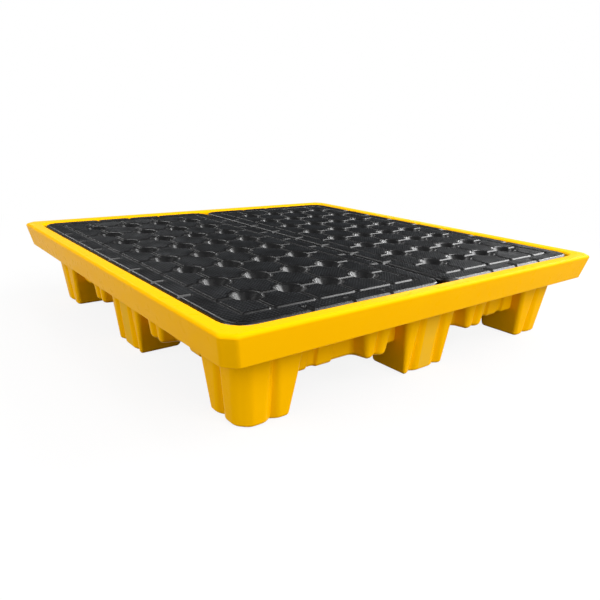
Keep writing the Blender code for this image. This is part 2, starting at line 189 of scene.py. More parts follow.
class TraySizes(bpy.types.PropertyGroup):
    """Sizes of the sump tray. Places along a side are measured from its middle."""
    side: length("Side", "Outer side of the square rim", CAD_BOX[1].x - CAD_BOX[0].x)
    height: length("Height", "Ground to the top of the rim", CAD_BOX[1].z)
    wall: length("Wall", "Wall of the moulding", 0.006)
    rim_height: length("Rim height", "Top of the rim to its lower edge", 0.071)
    rim_width: length("Rim width", "Flat top between the outer edge and the deck", 0.040)
    rim_draft: length("Rim draft", "How far the lower edge lies inside the upper one", 0.015)
    rim_edge: length("Rim edge", "Rounding of the top outer edge", 0.007)
    rim_lip: length("Rim lip", "Rounding of the lower outer edge", 0.003)
    rim_inner_edge: length("Rim inner edge", "Rounding of the top edge round the deck", 0.008)
    rim_fall: length("Rim fall", "Fall of the rim's top towards the deck", 0.0015)
    rim_chamfer: length("Rim chamfer", "Leg of the chamfer at each upright corner", 0.024)
    rim_corner: length("Rim corner", "Rounding of that chamfer's upright edges", 0.014)
    recess_radius: length("Recess radius", "Plan corners of the recess that holds the grates", 0.048)
    ledge: length("Ledge", "Level of the ledge that carries the grates", LEFT_LOW.z - SEAT_GAP)
    floor_clearance: length("Floor clearance", "Ground to the underside of the sump floor", 0.078)
    floor_edge: length("Floor edge", "Rounding under the sump", 0.012)
    ground_inset: length("Ground inset", "Rim's outer side to the drafted wall, at the ground", 0.092)
    wall_draft: lean("Wall draft", "Outward lean of that wall", 0.12)
    recess_depth: length("Wall recess", "Plain sump wall behind the drafted wall", 0.042)
    bulge_place: length("Bulge place", "Middle of the double-lobed bulge", 0.190)
    bulge_half: length("Bulge half width", "Half its width at the sump floor", 0.030)
    bulge_flare: lean("Bulge flare", "Growth of that half width", 0.19)
    bulge_flank: length("Bulge flank", "Run of its flanks, from the lobe back to the plain wall", 0.010)
    lobe_round: length("Lobe rounding", "Upright edges of the lobes", 0.022)
    corner_lobe_round: length("Corner lobe rounding", "The same on a corner foot", 0.012)
    flank_round: length("Flank rounding", "Where a flank runs into the plain wall", 0.012)
    flute_half: length("Flute half width", "Half width of the flute between two lobes, at the ground", 0.016)
    flute_taper: lean("Flute taper", "Loss of that half width", 0.04)
    flute_depth: length("Flute depth", "Valley of the flute behind its lips", 0.0095)
    flute_lip: length("Flute lip", "Rounding of the lips of a flute", 0.032)
    flute_valley: length("Flute valley", "Rounding of the bottom of a flute", 0.003)
    rib_place: length("Rib place", "Middle of the stiffening rib on the plain wall", 0.323)
    rib_half: length("Rib half width", "Half width of the rib", 0.022)
    rib_depth: length("Rib depth", "Rib's face behind the drafted wall", 0.034)
    rib_flank: length("Rib flank", "Run of the rib's flanks", 0.005)
    rib_round: length("Rib rounding", "Upright edges of the rib", 0.005)
    gusset_place: length("Gusset place", "Start of the thickened wall beside a corner foot", 0.3745)
    foot_depth: length("Foot depth", "Foot from its outer to its inner face, at the ground", 0.117)
    corner_foot_depth: length("Corner foot depth", "The same for a corner foot", 0.1255)
    foot_inner_draft: lean("Foot inner draft", "Lean of that inner face", 0.13)
    foot_edge: length("Foot edge", "Rounding under the feet", 0.007)
    foot_round: length("Foot rounding", "Upright inner edges of the feet", 0.015)
    side_foot_half: length("Side foot half width", "Half width of a side foot at the ground", 0.073)
    side_foot_flare: lean("Side foot flare", "Growth of that half width", 0.13)
    panel_half: length("Panel half width", "Flat panel in the middle of a side foot", 0.030)
    corner_flute: length("Corner flute", "Flute of a corner foot from its outer face, at the ground", 0.077)
    corner_flute_lean: lean("Corner flute lean", "Growth of that distance", 0.06)
    corner_round: length("Corner rounding", "Upright edges of a corner foot's chamfer", 0.030)


class GrateSizes(bpy.types.PropertyGroup):
    """Sizes of one deck grate. Both are the same moulding."""
    width: length("Width", "Across the seam", LEFT_HIGH.x - LEFT_LOW.x - 2 * TRIM)
    length: length("Length", "Along the seam", LEFT_HIGH.y - LEFT_LOW.y - 2 * TRIM)
    low: length("Underside", "Level of the underside", LEFT_LOW.z)
    top: length("Top", "Level of the deck surface", LEFT_HIGH.z)
    corner: length("Corner", "Plan corners", 0.045)
    edge: length("Edge", "Rounding of the top outer edge", 0.008)
    column_pitch: length("Column pitch", "Drain to drain across the grate", 0.114)
    row_pitch: length("Row pitch", "Drain to drain along the grate", 0.1288)
    columns: bpy.props.IntProperty(name="Columns", description="Drains across the grate", default=4, min=1)
    rows: bpy.props.IntProperty(name="Rows", description="Drains along the grate", default=8, min=1)
    drain_mouth: length("Drain mouth", "Radius of a drain's cone at the deck, without its lip", 0.0355)
    drain_throat: length("Drain throat", "Radius of a drain below its cone", 0.018)
    drain_cone: length("Drain cone", "Depth of a drain's cone", 0.0205)
    drain_lip: length("Drain lip", "Rounding of a drain's lip", 0.013)
    groove_width: length("Groove width", "Groove between two pads, at the deck surface", 0.010)
    groove_depth: length("Groove depth", "Deck surface to the bottom of the grooves", 0.0030)
    groove_flank: length("Groove flank", "Run of the sloping side of a groove", 0.0025)
    pad_corner: length("Pad corner", "Plan corners of the pads", 0.006)
    pad_edge: length("Pad edge", "Rounding of a pad's top edge", 0.0025)
    border: length("Border", "Middle of the border groove from the grate's edge", 0.051)
    notch_length: length("Notch length", "Drip notch, in from the edge", 0.030)
    notch_width: length("Notch width", "Drip notch at the deck surface", 0.014)
    notch_depth: length("Notch depth", "Deck surface to the bottom of a drip notch", 0.0065)
    knurl_pitch: length("Knurl pitch", "Side of one pyramid of the knurl", 0.009)
    knurl_height: length("Knurl height", "Height of one pyramid of the knurl", 0.0018)


class ColumnSizes(bpy.types.PropertyGroup):
    """Sizes of one support column."""
    flange: length("Flange", "Thickness of the foot and head flanges, and their reach past the tube", 0.008)
    wall: length("Wall", "Wall of the tube", 0.006)
    edge: length("Edge", "Rounding of the flanges", 0.0015)
    fillet: length("Fillet", "Rounding between tube and flange", 0.006)


class PalletColours(bpy.types.PropertyGroup):
    """Colours of the two plastics and of the stage."""
    yellow: paint("Yellow", "Body colour of the tray", "#FFBD00")
    yellow_deep: paint("Deep yellow", "Patches where the tray's pigment lies thicker", "#FCB700")
    yellow_panel: paint("Panel yellow", "Matt panel in the middle of a side foot", "#E3B43A")
    black: paint("Black", "Body colour of the grates", "#0B0B0C")
    # Greyer points of the knurl: rubbed wear and a painted highlight of their lit tops.
    black_rubbed_and_highlit: paint("Rubbed black", "Grates where they are dusty or rubbed", "#3C3F42")
    column_black: paint("Column black", "Body colour of the columns", "#17181A")
    floor: paint("Floor", "Studio floor in the light that it throws back", "#5C5C5C")
    floor_seen: paint("Floor seen", "Studio floor as the camera sees it", "#E4E4E4")


class StageSettings(bpy.types.PropertyGroup):
    """Camera of the studio."""
    focal_pixels: bpy.props.FloatProperty(
        name="Focal length", description="In pixels of a 600 pixel frame", default=563.776, min=1.0)
    azimuth: angle("Azimuth", "Side that the camera stands on, from -Y", -38.9762)
    elevation: angle("Elevation", "Camera above the horizon", 17.1346)
    roll: angle("Roll", "Turn of the camera about its own line of sight", 2.1112)
    place: bpy.props.FloatVectorProperty(
        name="Place", description="Where the camera stands", default=(-1.10228, -1.40537, 0.59087),
        subtype='TRANSLATION', unit='LENGTH')


# Outlines. A corner is (x, y, radius), and an outline goes anticlockwise.
def rounded(corners, closed=True, steps=ARC_STEPS):
    """Points of a path through corners, with an arc of each corner's radius instead of the corner."""
    points = []
    last = len(corners) - 1
    for index, (x, y, radius) in enumerate(corners):
        corner = Vector((x, y))
        if not closed and index in (0, last):
            points.append(corner)
            continue
        before = Vector(corners[index - 1][:2]) - corner
        after = Vector(corners[(index + 1) % len(corners)][:2]) - corner
        half_turn = (math.pi - before.angle(after)) / 2
        reach = min(radius * math.tan(half_turn), ARC_SHARE * before.length, ARC_SHARE * after.length)
        start = corner + reach * before.normalized()
        end = corner + reach * after.normalized()
        pull = 2 * math.cos(half_turn)
        for step in range(steps + 1):
            share = step / steps
            weights = ((1 - share) ** 2, share * (1 - share) * pull, share ** 2)
            total = start * weights[0] + corner * weights[1] + end * weights[2]
            points.append(total / sum(weights))
    return [(point.x, point.y) for point in points]


def inset(corners, distance):
    """Move every side of an outline inwards. Outer corners get tighter and inner ones wider."""
    drawn_in = []
    for index, (x, y, radius) in enumerate(corners):
        corner = Vector((x, y))
        before = (corner - Vector(corners[index - 1][:2])).normalized()
        after = (Vector(corners[(index + 1) % len(corners)][:2]) - corner).normalized()
        inward = Vector((-before.y - after.y, before.x + after.x)).normalized()
        place = corner + inward * distance / inward.dot(Vector((-after.y, after.x)))
        change = -distance if before.cross(after) > 0 else distance
        drawn_in.append((place.x, place.y, max(radius + change, TIGHT)))
    return drawn_in


def turned(corners, quarter):
    """Corners turned by quarters of a full turn about the middle of the tray."""
    cos, sin = ((1, 0), (0, 1), (-1, 0), (0, -1))[quarter]
    return [(cos * x - sin * y, sin * x + cos * y, radius) for x, y, radius in corners]


def moved(corners, x, y):
    return [(corner_x + x, corner_y + y, radius) for corner_x, corner_y, radius in corners]


def four_sides(side):
    """Repeat the corners of the +X side on all four sides."""
    return sum((turned(side, quarter) for quarter in range(4)), [])


def whole_side(half_side):
    """Corners of the +X side from (along, out, radius) of the half with along above zero."""
    mirrored = [(out, -along, radius) for along, out, radius in reversed(half_side)]
    return mirrored + [(out, along, radius) for along, out, radius in half_side]


def rectangle(half_x, half_y, radius):
    """Corners of a rectangle about the origin."""
    return [(half_x, -half_y, radius), (half_x, half_y, radius),
            (-half_x, half_y, radius), (-half_x, -half_y, radius)]


def circle(radius):
    """Points of a round section."""
    turns = [2 * math.pi * step / ROUND_SIDES for step in range(ROUND_SIDES)]
    return [(radius * math.cos(turn), radius * math.sin(turn)) for turn in turns]


# Modelling by operators
def deselect_all():
    bpy.ops.object.select_all(action='DESELECT')


def select(*pieces):
    """Select only these objects and make the first one active."""
    deselect_all()
    for piece in pieces:
        piece.select_set(True)
    bpy.context.view_layer.objects.active = pieces[0]


def loft(name, sections, capped=True):
    """Skin a stack of (points, z), lowest first: a grid is wrapped round it, closed and capped."""
    deselect_all()
    around = len(sections[0][0])
    bpy.ops.mesh.primitive_grid_add(x_subdivisions=around, y_subdivisions=len(sections) - 1, size=1,
                                    calc_uvs=False)
    piece = bpy.context.object
    piece.name = name
    for index, vertex in enumerate(piece.data.vertices):
        row, column = divmod(index, around + 1)
        points, z = sections[row]
        vertex.co = (*points[column % around], z)
    bpy.ops.object.mode_set(mode='EDIT')
    bpy.ops.mesh.select_all(action='SELECT')
    bpy.ops.mesh.remove_doubles(threshold=SKIN_MERGE)
    if capped:
        bpy.ops.mesh.fill_holes(sides=0)
    bpy.ops.mesh.select_all(action='SELECT')
    bpy.ops.mesh.normals_make_consistent(inside=False)
    bpy.ops.object.mode_set(mode='OBJECT')
    return piece


def copy_of(piece):
    """Copy a piece, with a mesh of its own."""
    select(piece)
    bpy.ops.object.duplicate()
    return bpy.context.object


def settle(piece):
    """Put the place of a piece into its mesh."""
    select(piece)
    bpy.ops.object.transform_apply(location=True, rotation=True, scale=True)


def join(pieces):
    """Join objects into the first one, with its place in the mesh."""
    select(*pieces)
    bpy.ops.object.join()
    settle(pieces[0])
    return pieces[0]


def place_copies(piece, places):
    """Copy a piece to each place in the plan, and join the copies."""
    copies = []
    for x, y in places:
        copies.append(copy_of(piece))
        copies[-1].location = (x, y, 0)
    bpy.data.objects.remove(piece)
    return join(copies)


def combine(target, operation, other):
    """Add another solid to a piece, or cut it away, and drop it."""
    select(target)
    modifier = target.modifiers.new(other.name, 'BOOLEAN')
    modifier.operation = operation
    modifier.solver = 'EXACT'
    modifier.object = other
    bpy.ops.object.modifier_apply(modifier=modifier.name)
    bpy.data.objects.remove(other)


def smooth(piece, degrees):
    """Shade the rounded edges smooth and keep the flats flat."""
    select(piece)
    bpy.ops.object.shade_smooth_by_angle(angle=math.radians(degrees))
    modifier = piece.modifiers.new("even_shading", 'WEIGHTED_NORMAL')
    modifier.keep_sharp = True
    bpy.ops.object.modifier_apply(modifier=modifier.name)


def clean(piece):
    """Merge what the solver left double and drop edges of no length."""
    select(piece)
    bpy.ops.object.mode_set(mode='EDIT')
    bpy.ops.mesh.select_all(action='SELECT')
    bpy.ops.mesh.remove_doubles(threshold=SOLVER_MERGE)
    bpy.ops.mesh.dissolve_degenerate(threshold=SOLVER_MERGE)
    bpy.ops.object.mode_set(mode='OBJECT')


# Materials
def set_inputs(tree, node, inputs):
    """Set the inputs of a node, or link them from other nodes' outputs."""
    for name, value in inputs.items():
        if isinstance(value, bpy.types.NodeSocket):
            tree.links.new(value, node.inputs[name])
        else:
            node.inputs[name].default_value = value


def add_node(tree, kind, inputs=None, **settings):
    """Add a shader node, set its options, and set or link its inputs."""
    node = tree.nodes.new("ShaderNode" + kind)
    for name, value in settings.items():
        setattr(node, name, value)
    set_inputs(tree, node, inputs or {})
    return node


def start_material(name, specular):
    """Material with a polyethylene shader of that gloss, and its Object coordinates."""
    item = bpy.data.materials.new(name)
    item.use_nodes = True
    tree = item.node_tree
    shader = tree.nodes["Principled BSDF"]
    set_inputs(tree, shader, {"IOR": POLYETHYLENE_IOR, "Specular IOR Level": specular})
    place = add_node(tree, "TexCoord").outputs["Object"]
    return item, tree, shader, place


def per_metre(millimetres):
    """Scale of a pattern whose cells are that many millimetres wide."""
    return 1000 / millimetres


def yellow_polyethylene(name, light, deep, roughness):
    """Rotomoulded polyethylene: satin, with the faint mottling and orange peel of the mould."""
    item, tree, shader, place = start_material(name, specular=0.012)
    cloud = add_node(tree, "TexNoise", {"Vector": place, "Scale": per_metre(90), "Detail": 3.0})
    tint = add_node(tree, "Mix", {0: cloud.outputs["Fac"], 6: (*light, 1), 7: (*deep, 1)}, data_type='RGBA')
    scuff = add_node(tree, "TexNoise", {"Vector": place, "Scale": per_metre(25), "Detail": 4.0})
    gloss = add_node(tree, "MapRange", {
        "Value": scuff.outputs["Fac"], "From Min": 0.3, "From Max": 0.7, "To Min": roughness - 0.05,
        "To Max": roughness + 0.07})
    # The real peel is about 2 mm wide; it is drawn at 7 mm so that it shows in the render.
    peel = add_node(tree, "TexNoise", {"Vector": place, "Scale": per_metre(7), "Detail": 2.0})
    bump = add_node(tree, "Bump", {"Strength": 0.10, "Distance": 0.0006, "Height": peel.outputs["Fac"]})
    set_inputs(tree, shader, {"Base Color": tint.outputs[2], "Roughness": gloss.outputs["Result"],
                              "Normal": bump.outputs["Normal"]})
    return item


def smooth_black_polyethylene(name, colours):
    """Black polyethylene off a polished mould: grooves, drains and edges with a satin gloss."""
    item, tree, shader, place = start_material(name, specular=0.5)
    cloud = add_node(tree, "TexNoise", {"Vector": place, "Scale": per_metre(18), "Detail": 3.0})
    gloss = add_node(tree, "MapRange", {
        "Value": cloud.outputs["Fac"], "From Min": 0.3, "From Max": 0.7, "To Min": 0.22, "To Max": 0.32})
    set_inputs(tree, shader, {"Base Color": (*colours.black, 1), "Roughness": gloss.outputs["Result"]})
    return item


def knurled_black_polyethylene(name, colours, base, tip):
    """Black polyethylene pressed with a knurl against slipping: matt, and greyer on its points, partly from
    rubbing and partly as a painted highlight of their lit tops.
    """
    item, tree, shader, place = start_material(name, specular=0.04)
    cloud = add_node(tree, "TexNoise", {"Vector": place, "Scale": per_metre(60), "Detail": 4.0})
    worn = add_node(tree, "MapRange", {
        "Value": cloud.outputs["Fac"], "From Min": 0.35, "From Max": 0.70, "To Min": 0.35})
    height = add_node(tree, "SeparateXYZ", {"Vector": place})
    # The knurl's points are painted greyer by their height: partly rubbed wear, partly a painted highlight
    # standing in for their lit tops.
    point = add_node(tree, "MapRange", {
        "Value": height.outputs["Z"], "From Min": base + RUB_AND_HIGHLIGHT_START * (tip - base),
        "From Max": base + RUB_AND_HIGHLIGHT_FULL * (tip - base)})
    rub_and_highlight = add_node(tree, "Math", {0: worn.outputs["Result"], 1: point.outputs["Result"]},
                      operation='MULTIPLY')
    tint = add_node(tree, "Mix", {
        0: rub_and_highlight.outputs[0], 6: (*colours.black, 1), 7: (*colours.black_rubbed_and_highlit, 1)}, data_type='RGBA')
    gloss = add_node(tree, "MapRange", {
        "Value": cloud.outputs["Fac"], "From Min": 0.3, "From Max": 0.7, "To Min": 0.50, "To Max": 0.36})
    set_inputs(tree, shader, {"Base Color": tint.outputs[2], "Roughness": gloss.outputs["Result"]})
    return item


def column_polyethylene(name, colour):
    """Black extruded polyethylene: matt, with fine draw lines along the tube."""
    item, tree, shader, place = start_material(name, specular=0.5)
    stretch = add_node(tree, "Mapping", {"Vector": place, "Scale": (1.0, 1.0, 0.02)})
    lines = add_node(tree, "TexNoise", {
        "Vector": stretch.outputs["Vector"], "Scale": per_metre(2), "Detail": 2.0})
    gloss = add_node(tree, "MapRange", {"Value": lines.outputs["Fac"], "To Min": 0.42, "To Max": 0.62})
    bump = add_node(tree, "Bump", {"Strength": 0.15, "Distance": 0.0004, "Height": lines.outputs["Fac"]})
    set_inputs(tree, shader, {"Base Color": (*colour, 1), "Roughness": gloss.outputs["Result"],
                              "Normal": bump.outputs["Normal"]})
    return item


# Sump tray
def wall_half(s, z):
    """Half size of the drafted wall that carries the lobes and the feet."""
    return s.side / 2 - s.ground_inset + s.wall_draft * z


def foot_inner(s, depth, z):
    """Distance of an outer foot's inner face from the middle of the tray."""
    return s.side / 2 - s.ground_inset - depth - s.foot_inner_draft * z


def flute(s, place, z):
    """Upright flute between two lobes, as corners (along, out, radius)."""
    half = wall_half(s, z)
    width = s.flute_half - s.flute_taper * z
    return [(place - width, half, s.flute_lip), (place, half - s.flute_depth, s.flute_valley),
            (place + width, half, s.flute_lip)]


def sump_corners(s, z, fluted=True):
    """Corrugated sump wall at one height: bulges, ribs and gussets on a plain wall."""
    half = wall_half(s, z)
    plain = half - s.recess_depth
    rib = half - s.rib_depth
    face = half if fluted else half - s.flute_depth
    reach = s.bulge_half + s.bulge_flare * (z - s.floor_clearance)
    inner = s.bulge_place - reach
    outer = s.bulge_place + reach
    profile = [(inner - s.bulge_flank, plain, s.flank_round), (inner, face, s.lobe_round)]
    if fluted:
        profile += flute(s, s.bulge_place, z)
    profile += [(outer, face, s.lobe_round), (outer + s.bulge_flank, plain, s.flank_round)]
    near = s.rib_place - s.rib_half
    far = s.rib_place + s.rib_half
    profile += [(near - s.rib_flank, plain, s.rib_round), (near, rib, s.rib_round),
                (far, rib, s.rib_round), (far + s.rib_flank, plain, s.rib_round),
                (s.gusset_place - s.rib_flank, plain, s.rib_round), (s.gusset_place, rib, s.rib_round),
                (rib - s.rim_chamfer, rib, s.flank_round)]
    return four_sides(whole_side(profile))


def side_foot_corners(s, z, fluted=True):
    """Side foot on the +X side: a flat panel between two lobes, with a flute each side of it."""
    half = wall_half(s, z)
    face = half if fluted else half - s.flute_depth
    width = s.side_foot_half + s.side_foot_flare * z
    profile = []
    if fluted:
        profile += flute(s, s.panel_half + s.flute_half - s.flute_taper * z, z)
    profile += [(width, face, s.lobe_round), (width, foot_inner(s, s.foot_depth, z), s.foot_round)]
    return whole_side(profile)


def corner_foot_corners(s, z, fluted=True):
    """Corner foot at +X +Y: a chamfered main lobe with a side lobe on each outer face."""
    half = wall_half(s, z)
    face = half if fluted else half - s.flute_depth
    inner = foot_inner(s, s.corner_foot_depth, z)
    side = [(face, inner, s.corner_lobe_round)]
    if fluted:
        place = half - s.corner_flute - s.corner_flute_lean * z
        side += [(out, along, radius) for along, out, radius in flute(s, place, z)]
    side.append((face, face - s.rim_chamfer, s.corner_round))
    other = [(y, x, radius) for x, y, radius in reversed(side)]
    return side + other + [(inner, inner, s.foot_round)]


def centre_foot_corners(s, z):
    """Centre foot: a plain square without flutes."""
    half = s.foot_depth / 2 + s.wall_draft * z
    return rectangle(half, half, s.foot_round)


def foot_shapes(s):
    """Outline of every foot, as a function of the height and of whether it shows its flutes."""
    shapes = [lambda z, fluted: centre_foot_corners(s, z)]
    for quarter in range(4):
        for corners in (side_foot_corners, corner_foot_corners):
            shapes.append(lambda z, fluted, quarter=quarter, corners=corners:
                          turned(corners(s, z, fluted), quarter))
    return shapes


def standing(name, corners_at, low, high, edge):
    """Solid that stands on a rounded bottom edge. corners_at gives its outline at any height."""
    sections = []
    for step in range(EDGE_STEPS + 1):
        turn = math.pi / 2 * step / EDGE_STEPS
        z = low + edge * (1 - math.cos(turn))
        sections.append((rounded(inset(corners_at(z), edge * (1 - math.sin(turn)))), z))
    sections.append((rounded(corners_at(high)), high))
    return loft(name, sections)


def rim_corners(s, half):
    """Square of the rim at one height, with its chamfers."""
    corner = half - s.rim_chamfer
    return four_sides([(half, -corner, s.rim_corner), (half, corner, s.rim_corner)])


def make_rim(s):
    """Inverted channel: outer face, rounded top edge and the space below its top."""
    low = s.height - s.rim_height
    half = s.side / 2
    top = half + s.rim_draft * s.rim_edge / (s.rim_height - s.rim_edge)
    face = rounded([(half - s.rim_draft - RIM_UNDERSIDE, low, 0), (half - s.rim_draft, low, s.rim_lip),
                    (top, s.height, s.rim_edge), (half - RIM_TOP, s.height, 0)], closed=False)
    rim = loft("sump_tray_moulding", [(rounded(rim_corners(s, size)), z) for size, z in face])
    space = rounded([(half - s.rim_draft - s.wall - SPACE_DRAFT, low - OVERCUT, 0),
                     (half - s.wall, s.height - s.wall, s.rim_lip),
                     (half - SPACE_TOP, s.height - s.wall, 0)], closed=False)
    combine(rim, 'DIFFERENCE', loft("space", [(rounded(rim_corners(s, size)), z) for size, z in space]))
    return rim


def make_tray(s):
    """Rim, sump and nine feet as one shell of even wall."""
    tray = make_rim(s)
    recess = s.side / 2 - s.rim_width
    outside = rounded(rectangle(recess + s.wall, recess + s.wall, s.recess_radius + s.wall))
    combine(tray, 'UNION', loft("collar", [(outside, s.ledge - s.wall), (outside, s.height - s.wall / 2)]))
    middle = s.ledge - s.wall / 2
    combine(tray, 'UNION', standing("sump_outside", lambda z: sump_corners(s, z), s.floor_clearance, middle,
                                    s.floor_edge))
    feet = [standing("foot_outside", lambda z, shape=shape: shape(z, True), 0, middle, s.foot_edge)
            for shape in foot_shapes(s)]
    combine(tray, 'UNION', join(feet))

    past = recess + FALL_RUN
    mouth = rounded([(recess, s.ledge, 0), (recess, s.height - s.rim_fall, s.rim_inner_edge),
                     (past, s.height + FALL_OVER, 0)], closed=False)
    mouth.append((past, s.height + OVERCUT))
    combine(tray, 'DIFFERENCE', loft("recess", [
        (rounded(rectangle(size, size, s.recess_radius + size - recess)), z) for size, z in mouth]))
    above = s.ledge + OVERCUT
    combine(tray, 'DIFFERENCE', standing("sump_inside", lambda z: inset(sump_corners(s, z, False), s.wall),
                                         s.floor_clearance + s.wall, above, s.floor_edge / 2))
    wells = [standing("foot_inside", lambda z, shape=shape: inset(shape(z, False), s.wall), s.wall, above,
                      s.foot_edge / 2) for shape in foot_shapes(s)]
    combine(tray, 'DIFFERENCE', join(wells))
    clean(tray)
    return tray


def mark_panels(s, tray):
    """Give the flat panels of the side feet their own finish."""
    for face in tray.data.polygons:
        across, out = sorted((abs(face.center.x), abs(face.center.y)))
        outward = max(abs(face.normal.x), abs(face.normal.y)) > FACING
        on_wall = abs(out - wall_half(s, face.center.z)) < WALL_NEAR
        if outward and on_wall and across < s.panel_half / 2 and face.area > PANEL_AREA:
            face.material_index = 1


# Deck grates
def grid_places(count, pitch):
    """Places at an even pitch about the middle of the grate."""
    return [pitch * (index - (count - 1) / 2) for index in range(count)]


def drain_places(g):
    """Middles of the drains, as (x, y)."""
    return [(x, y) for x in grid_places(g.columns, g.column_pitch) for y in grid_places(g.rows, g.row_pitch)]


def deck_level(g):
    """Level of the pads, under the points of the knurl."""
    return g.top - g.knurl_height


def groove_lines(g):
    """Middles of the grooves across and along the grate, with the border grooves first and last."""
    lines = []
    for count, pitch, size in ((g.columns, g.column_pitch, g.width), (g.rows, g.row_pitch, g.length)):
        border = size / 2 - g.border
        lines.append([-border] + grid_places(count, pitch) + [border])
    return lines


def pad_boxes(g):
    """Every pad between the grooves, as its low and high corners (x0, y0, x1, y1)."""
    lines_x, lines_y = groove_lines(g)
    gap = g.groove_width / 2
    return [(x0 + gap, y0 + gap, x1 - gap, y1 - gap)
            for x0, x1 in zip(lines_x, lines_x[1:]) for y0, y1 in zip(lines_y, lines_y[1:])]


def make_pad(g, box):
    """Raised pad with sloping flanks and a rounded top edge, sunk a little into the panel."""
    x0, y0, x1, y1 = box
    level = deck_level(g)
    spread = g.groove_flank * (1 + PAD_SUNK / g.groove_depth)
    profile = rounded([(-spread, level - g.groove_depth - PAD_SUNK, 0), (0, level, g.pad_edge),
                       (PAD_RUN, level, 0)], closed=False, steps=SMALL_STEPS)[:-1]
    sections = []
    for draw_in, z in profile:
        corners = rectangle((x1 - x0) / 2 - draw_in, (y1 - y0) / 2 - draw_in,
                            max(g.pad_corner - draw_in, TIGHT))
        sections.append((rounded(moved(corners, (x0 + x1) / 2, (y0 + y1) / 2)), z))
    return loft("pad", sections)


def make_drains(g):
    """Cutter of all drains: a widely rounded lip, a cone and a straight throat."""
    level = deck_level(g)
    profile = [(g.drain_throat + THROAT_FLARE, g.low - THROAT_OVERCUT)]
    profile += rounded([(g.drain_throat, g.low, 0), (g.drain_throat, level - g.drain_cone, THROAT_ROUND),
                        (g.drain_mouth, level, g.drain_lip),
                        (g.drain_mouth + OVERCUT, level + OVERCUT * math.tan(LIP_RISE), 0)],
                       closed=False, steps=LIP_STEPS)
    drain = loft("drain", [(circle(radius), z) for radius, z in profile])
    return place_copies(drain, drain_places(g))


def make_notches(g):
    """Cutter of the drip notches that run in from the edge, between the drains."""
    level = deck_level(g)
    floor = level - g.notch_depth
    reach = g.notch_length + OVERCUT
    levels = (floor, floor + NOTCH_TOE, level, level + NOTCH_TOP)
    notches = []
    for count, pitch, size, quarter in ((g.rows, g.row_pitch, g.width, 0),
                                        (g.columns, g.column_pitch, g.length, 1)):
        for along in grid_places(count - 1, pitch):
            for way in (-1, 1):
                middle = way * (size / 2 + OVERCUT - reach / 2)
                sections = []
                for share, z in zip(NOTCH_SHARES, levels):
                    width = g.notch_width * share
                    corners = rectangle(reach / 2 + width / 2, width / 2, width * NOTCH_ROUND)
                    sections.append((rounded(turned(moved(corners, middle, along), quarter)), z))
                notches.append(loft("notch", sections))
    return join(notches)


def make_panel(g):
    """Closed panel with a raised border, pads between grooves, drip notches and funnel drains."""
    level = deck_level(g)
    floor = level - g.groove_depth
    inner = g.border - g.groove_width / 2
    profile = rounded([(PANEL_UNDERSIDE, g.low, 0), (0, g.low, PANEL_LOW_EDGE), (0, level, g.edge),
                       (inner, level, g.pad_edge), (inner + g.groove_flank, floor, GROOVE_ROUND),
                       (inner + GROOVE_RUN, floor, 0)], closed=False)
    sections = []
    for draw_in, z in profile:
        corner = max(g.corner - draw_in, LEAST_CORNER)
        corners = rectangle(g.width / 2 - draw_in, g.length / 2 - draw_in, corner)
        sections.append((rounded(corners, steps=PLAN_STEPS), z))
    panel = loft("deck_grate_moulding", sections)
    combine(panel, 'UNION', join([make_pad(g, box) for box in pad_boxes(g)]))
    combine(panel, 'DIFFERENCE', make_notches(g))
    combine(panel, 'DIFFERENCE', make_drains(g))
    clean(panel)
    return panel


def mark_deck(g, panel):
    """Give the level faces of the deck surface the matt finish of the knurl."""
    for face in panel.data.polygons:
        if face.normal.z > LEVEL and face.center.z > deck_level(g) - LEVEL_NEAR:
            face.material_index = 1


def nearest(value, places):
    """Distance from a value to the nearest of some places."""
    return min(abs(value - place) for place in places)


def is_knurled(g, x, y):
    """Whether a cell of the knurl lies clear of the drains, the drip notches and the plan corners."""
    drain = min(math.hypot(x - column, y - row) for column, row in drain_places(g))
    if drain < g.drain_mouth + DRAIN_CLEAR + g.knurl_pitch / 2:
        return False
    from_side = g.width / 2 - abs(x)
    from_end = g.length / 2 - abs(y)
    beside = g.notch_width / 2 + NOTCH_CLEAR
    reach = g.notch_length + NOTCH_END_CLEAR
    if from_side < reach and nearest(y, grid_places(g.rows - 1, g.row_pitch)) < beside:
        return False
    if from_end < reach and nearest(x, grid_places(g.columns - 1, g.column_pitch)) < beside:
        return False
    past_corner = math.hypot(max(g.corner - from_side, 0), max(g.corner - from_end, 0))
    return past_corner < g.corner - g.edge - CORNER_CLEAR


def knurl_patches(g):
    """Areas that carry the knurl, as (x0, y0, x1, y1): every pad and the four strips of the border."""
    margin = g.pad_edge + EDGE_CLEAR
    patches = [(x0 + margin, y0 + margin, x1 - margin, y1 - margin) for x0, y0, x1, y1 in pad_boxes(g)]
    outer = g.edge + EDGE_CLEAR
    inner = g.border - g.groove_width / 2 - margin
    side, end = g.width / 2, g.length / 2
    patches += [(-side + outer, -end + outer, -side + inner, end - outer),
                (side - inner, -end + outer, side - outer, end - outer),
                (-side + inner, -end + outer, side - inner, -end + inner),
                (-side + inner, end - inner, side - inner, end - outer)]
    return patches


